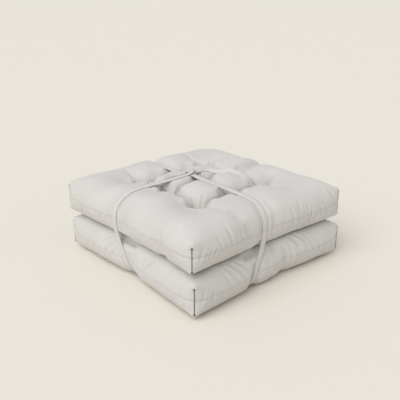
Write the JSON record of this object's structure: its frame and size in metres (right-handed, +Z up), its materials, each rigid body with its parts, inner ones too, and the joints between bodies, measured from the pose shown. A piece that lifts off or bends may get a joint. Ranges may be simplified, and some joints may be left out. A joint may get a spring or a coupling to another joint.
{
  "type": "futon floor cushion pair",
  "caption": "Two stacked square tufted futon pads in pale grey canvas, with boxed corners, held by a narrow cloth tie wrapped both ways and knotted on top.",
  "frame": {"origin": "middle of the stack's underside, on the surface it stands on", "axes": "+Z up; X and Y along the pads' sides, with the tie's knot towards the middle of the top face"},
  "size_m": [0.5052, 0.5052, 0.2344],
  "materials": {
    "canvas": "matte",
    "tie_cloth": "matte",
    "seam_thread": "matte",
    "twine": "matte",
    "batting": "matte"
  },
  "bodies": {
    "lower_pad": {"lower_pad_bottom_panel": "canvas", "lower_pad_top_panel": "canvas", "lower_pad_batting_lower": "batting", "lower_pad_batting_core": "batting", "lower_pad_batting_upper": "batting", "lower_pad_seam_allowance": "canvas", "lower_pad_corner_seam_front_left": "seam_thread", "lower_pad_corner_seam_front_right": "seam_thread", "lower_pad_corner_seam_back_left": "seam_thread", "lower_pad_corner_seam_back_right": "seam_thread", "lower_pad_tuft_twine_front_left": "twine", "lower_pad_tuft_twine_front_centre": "twine", "lower_pad_tuft_twine_front_right": "twine", "lower_pad_tuft_twine_middle_left": "twine", "lower_pad_tuft_twine_middle_centre": "twine", "lower_pad_tuft_twine_middle_right": "twine", "lower_pad_tuft_twine_back_left": "twine", "lower_pad_tuft_twine_back_centre": "twine", "lower_pad_tuft_twine_back_right": "twine", "tie_under_run_front_back": "tie_cloth", "tie_under_run_left_right": "tie_cloth", "tie_side_leg_front": "tie_cloth", "tie_side_leg_back": "tie_cloth", "tie_side_leg_left": "tie_cloth", "tie_side_leg_right": "tie_cloth"},
    "upper_pad": {"upper_pad_bottom_panel": "canvas", "upper_pad_top_panel": "canvas", "upper_pad_batting_lower": "batting", "upper_pad_batting_core": "batting", "upper_pad_batting_upper": "batting", "upper_pad_seam_allowance": "canvas", "upper_pad_corner_seam_front_left": "seam_thread", "upper_pad_corner_seam_front_right": "seam_thread", "upper_pad_corner_seam_back_left": "seam_thread", "upper_pad_corner_seam_back_right": "seam_thread", "upper_pad_tuft_twine_front_left": "twine", "upper_pad_tuft_twine_front_centre": "twine", "upper_pad_tuft_twine_front_right": "twine", "upper_pad_tuft_twine_middle_left": "twine", "upper_pad_tuft_twine_middle_centre": "twine", "upper_pad_tuft_twine_middle_right": "twine", "upper_pad_tuft_twine_back_left": "twine", "upper_pad_tuft_twine_back_centre": "twine", "upper_pad_tuft_twine_back_right": "twine", "tie_top_run_front": "tie_cloth", "tie_top_run_back": "tie_cloth", "tie_top_run_left": "tie_cloth", "tie_top_run_right": "tie_cloth", "tie_knot": "tie_cloth", "tie_tail_right": "tie_cloth", "tie_tail_left": "tie_cloth"}
  },
  "joints": [
    {"name": "upper_pad_lift", "type": "slide", "parent": "lower_pad", "child": "upper_pad", "axis": [0, 0, 1], "range_m": [0, 0.06], "deforming": ["tie_side_leg_front", "tie_side_leg_back", "tie_side_leg_left", "tie_side_leg_right"]}
  ]
}
